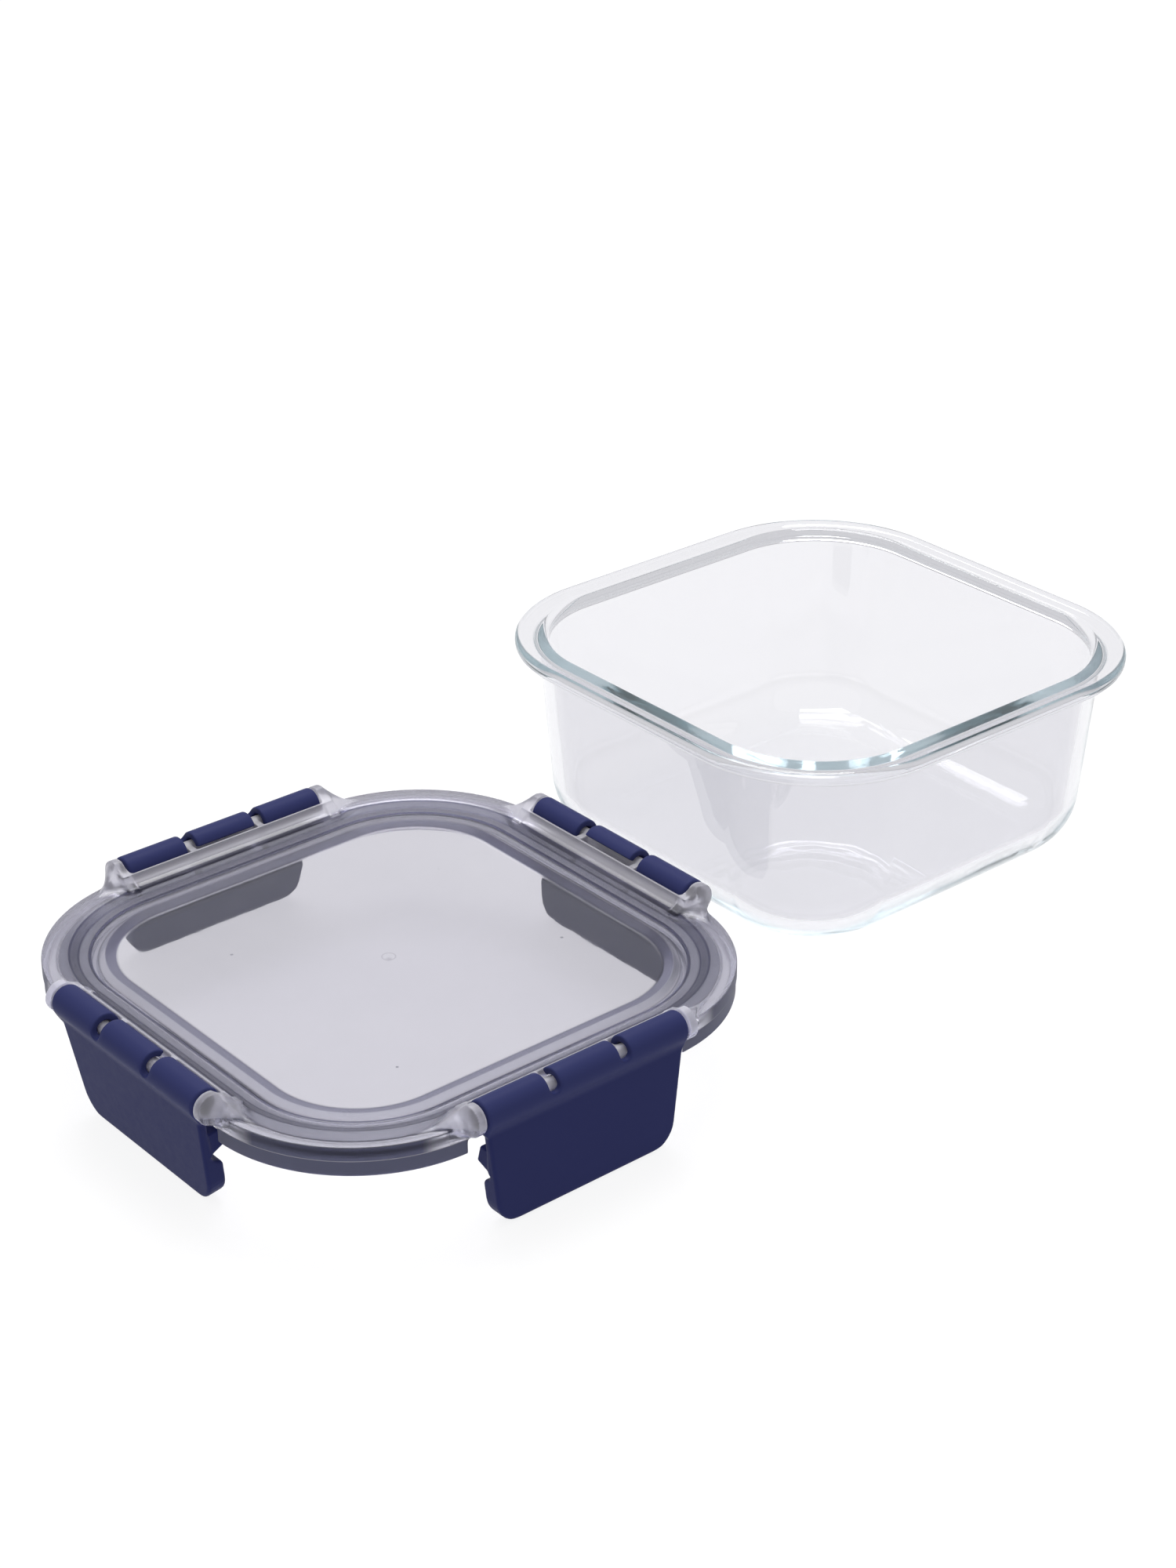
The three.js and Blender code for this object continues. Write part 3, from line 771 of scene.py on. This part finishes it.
glass = clear_material(
    "bowl_glass", tints=((0.83, 0.825, 0.85), (0.85, 0.845, 0.87)), roughness=(0.0, 0.02),
    ripples=(34, 0.00012), lamp_tint=(0.93, 0.935, 0.94), absorb=(0.45, 0.68, 0.74), density=3.6)
clear = clear_material(
    "lid_clear_plastic", tints=((0.61, 0.60, 0.65), (0.65, 0.64, 0.685)), roughness=(0.01, 0.05),
    ripples=(60, 0.00008), lamp_tint=(0.86, 0.855, 0.9), absorb=(0.42, 0.44, 0.74), density=18.0,
    marks=lid_marks_and_painted_shade)
navy = latch_material()

build_bowl(glass)
build_lid(clear)
build_gasket(silicone_material())
latch_shape = latch_mesh()
for joint in frame["joints"]:
    if joint["type"] == "hinge":
        build_latch(joint, latch_shape, navy)


# ---------------------------------------------------------------- studio

FLOOR_REACH, FLOOR_SINK, FLOOR_GLOW = 30.0, 0.0003, 0.86


def build_floor():
    """A pale paper floor that glows a little, so that it is evenly white with faint shadows."""
    mesh = bpy.data.meshes.new("studio_floor")
    mesh.from_pydata([(FLOOR_REACH * x, FLOOR_REACH * y, 0)
                      for x, y in ((-1, -1), (1, -1), (1, 1), (-1, 1))], [], [(0, 1, 2, 3)])
    floor = bpy.data.objects.new("studio_floor", mesh)
    floor.location.z = -FLOOR_SINK
    bpy.context.scene.collection.objects.link(floor)
    n = Nodes("floor_paper")
    tone = n.tinted(n.noise(1.5, 2), (0.145, 0.145, 0.147), (0.155, 0.155, 0.157))
    paper = n.principled(Base_Color=tone, Roughness=0.9, Emission_Color=(1, 1, 1, 1),
                         Emission_Strength=FLOOR_GLOW)
    mesh.materials.append(n.finish(paper.outputs["BSDF"]))


def soft_box(name, place, aim, size, power):
    data = bpy.data.lights.new(name, "AREA")
    data.shape = "RECTANGLE"
    data.size, data.size_y = size
    data.energy = power
    lamp = bpy.data.objects.new(name, data)
    lamp.location = place
    lamp.rotation_euler = (Vector(aim) - Vector(place)).to_track_quat("-Z", "Y").to_euler()
    bpy.context.scene.collection.objects.link(lamp)


# Brightness of the low wall round the studio, by compass angle from +Y towards +X in degrees. The
# camera looks along 40 degrees. Above the wall the studio is one white dome. The two meet between
# two heights, given as the sine of the angle above the horizon.
LOW_WALL = [(-180, 0.2), (-90, 0.15), (0, 0.45), (40, 0.6), (80, 0.45), (180, 0.2)]
DOME = 0.75
WALL_TOP, DOME_FOOT = 0.08, 0.36
COOL = 1.02    # how much bluer the studio is than grey


def build_world():
    world = bpy.data.worlds.new("studio")
    bpy.context.scene.world = world
    world.use_nodes = True
    tree = world.node_tree
    tree.nodes.clear()

    def add(kind, **settings):
        node = tree.nodes.new(kind)
        for key, value in settings.items():
            setattr(node, key, value)
        return node

    place = add("ShaderNodeTexCoord")
    split = add("ShaderNodeSeparateXYZ")
    compass = add("ShaderNodeMath", operation="ARCTAN2")
    turns = add("ShaderNodeMapRange")
    horizon = add("ShaderNodeValToRGB")
    height = add("ShaderNodeMapRange", interpolation_type="SMOOTHSTEP")
    mix = add("ShaderNodeMix", data_type="RGBA")
    back = add("ShaderNodeBackground")
    out = add("ShaderNodeOutputWorld")
    tree.links.new(place.outputs["Generated"], split.inputs["Vector"])
    tree.links.new(split.outputs["X"], compass.inputs[0])
    tree.links.new(split.outputs["Y"], compass.inputs[1])
    tree.links.new(compass.outputs["Value"], turns.inputs["Value"])
    turns.inputs["From Min"].default_value = -math.pi
    turns.inputs["From Max"].default_value = math.pi
    tree.links.new(turns.outputs["Result"], horizon.inputs["Fac"])
    stops = horizon.color_ramp.elements
    for number, (angle, tone) in enumerate(LOW_WALL):
        place_on = (angle + 180) / 360
        if number in (0, len(LOW_WALL) - 1):
            stop = stops[0 if number == 0 else len(stops) - 1]
            stop.position = place_on
        else:
            stop = stops.new(place_on)
        stop.color = (tone, tone, tone * COOL, 1)
    height.inputs["From Min"].default_value = WALL_TOP
    height.inputs["From Max"].default_value = DOME_FOOT
    tree.links.new(split.outputs["Z"], height.inputs["Value"])
    tree.links.new(height.outputs["Result"], mix.inputs["Factor"])
    tree.links.new(horizon.outputs["Color"], mix.inputs["A"])
    mix.inputs["B"].default_value = (DOME, DOME, DOME * COOL, 1)
    tree.links.new(mix.outputs["Result"], back.inputs["Color"])
    back.inputs["Strength"].default_value = 1.0
    tree.links.new(back.outputs["Background"], out.inputs["Surface"])


# The photograph's camera: lens and sensor in millimetres, place in metres, and degrees looking
# down, turned from +Y and rolled.
LENS, SENSOR = 70.7, 36.0
CAMERA_PLACE = (-0.5735, -0.5791, 0.4389)
CAMERA_PITCH, CAMERA_AZIMUTH, CAMERA_ROLL = 27.58, -40.0, -0.2


def build_camera():
    data = bpy.data.cameras.new("camera")
    data.lens = LENS
    data.sensor_width = SENSOR
    data.clip_start = 0.01
    camera = bpy.data.objects.new("camera", data)
    camera.location = CAMERA_PLACE
    pitch, azimuth, roll = map(math.radians, (CAMERA_PITCH, CAMERA_AZIMUTH, CAMERA_ROLL))
    look = Matrix.Rotation(azimuth, 4, "Z") @ Matrix.Rotation(math.pi / 2 - pitch, 4, "X")
    camera.rotation_euler = (look @ Matrix.Rotation(roll, 4, "Z")).to_euler()
    bpy.context.scene.collection.objects.link(camera)
    bpy.context.scene.camera = camera


build_floor()
build_world()
soft_box("key", place=(0.15, 0.4, 1.1), aim=(-0.08, 0, 0), size=(0.7, 0.7), power=9)
build_camera()
scene = bpy.context.scene
scene.view_settings.view_transform = "Standard"
# Light reflected many times inside the bowl's rim and the lid gives them their bright bands.
scene.cycles.max_bounces = 64
scene.cycles.transmission_bounces = 64
scene.cycles.transparent_max_bounces = 24
scene.cycles.glossy_bounces = 64
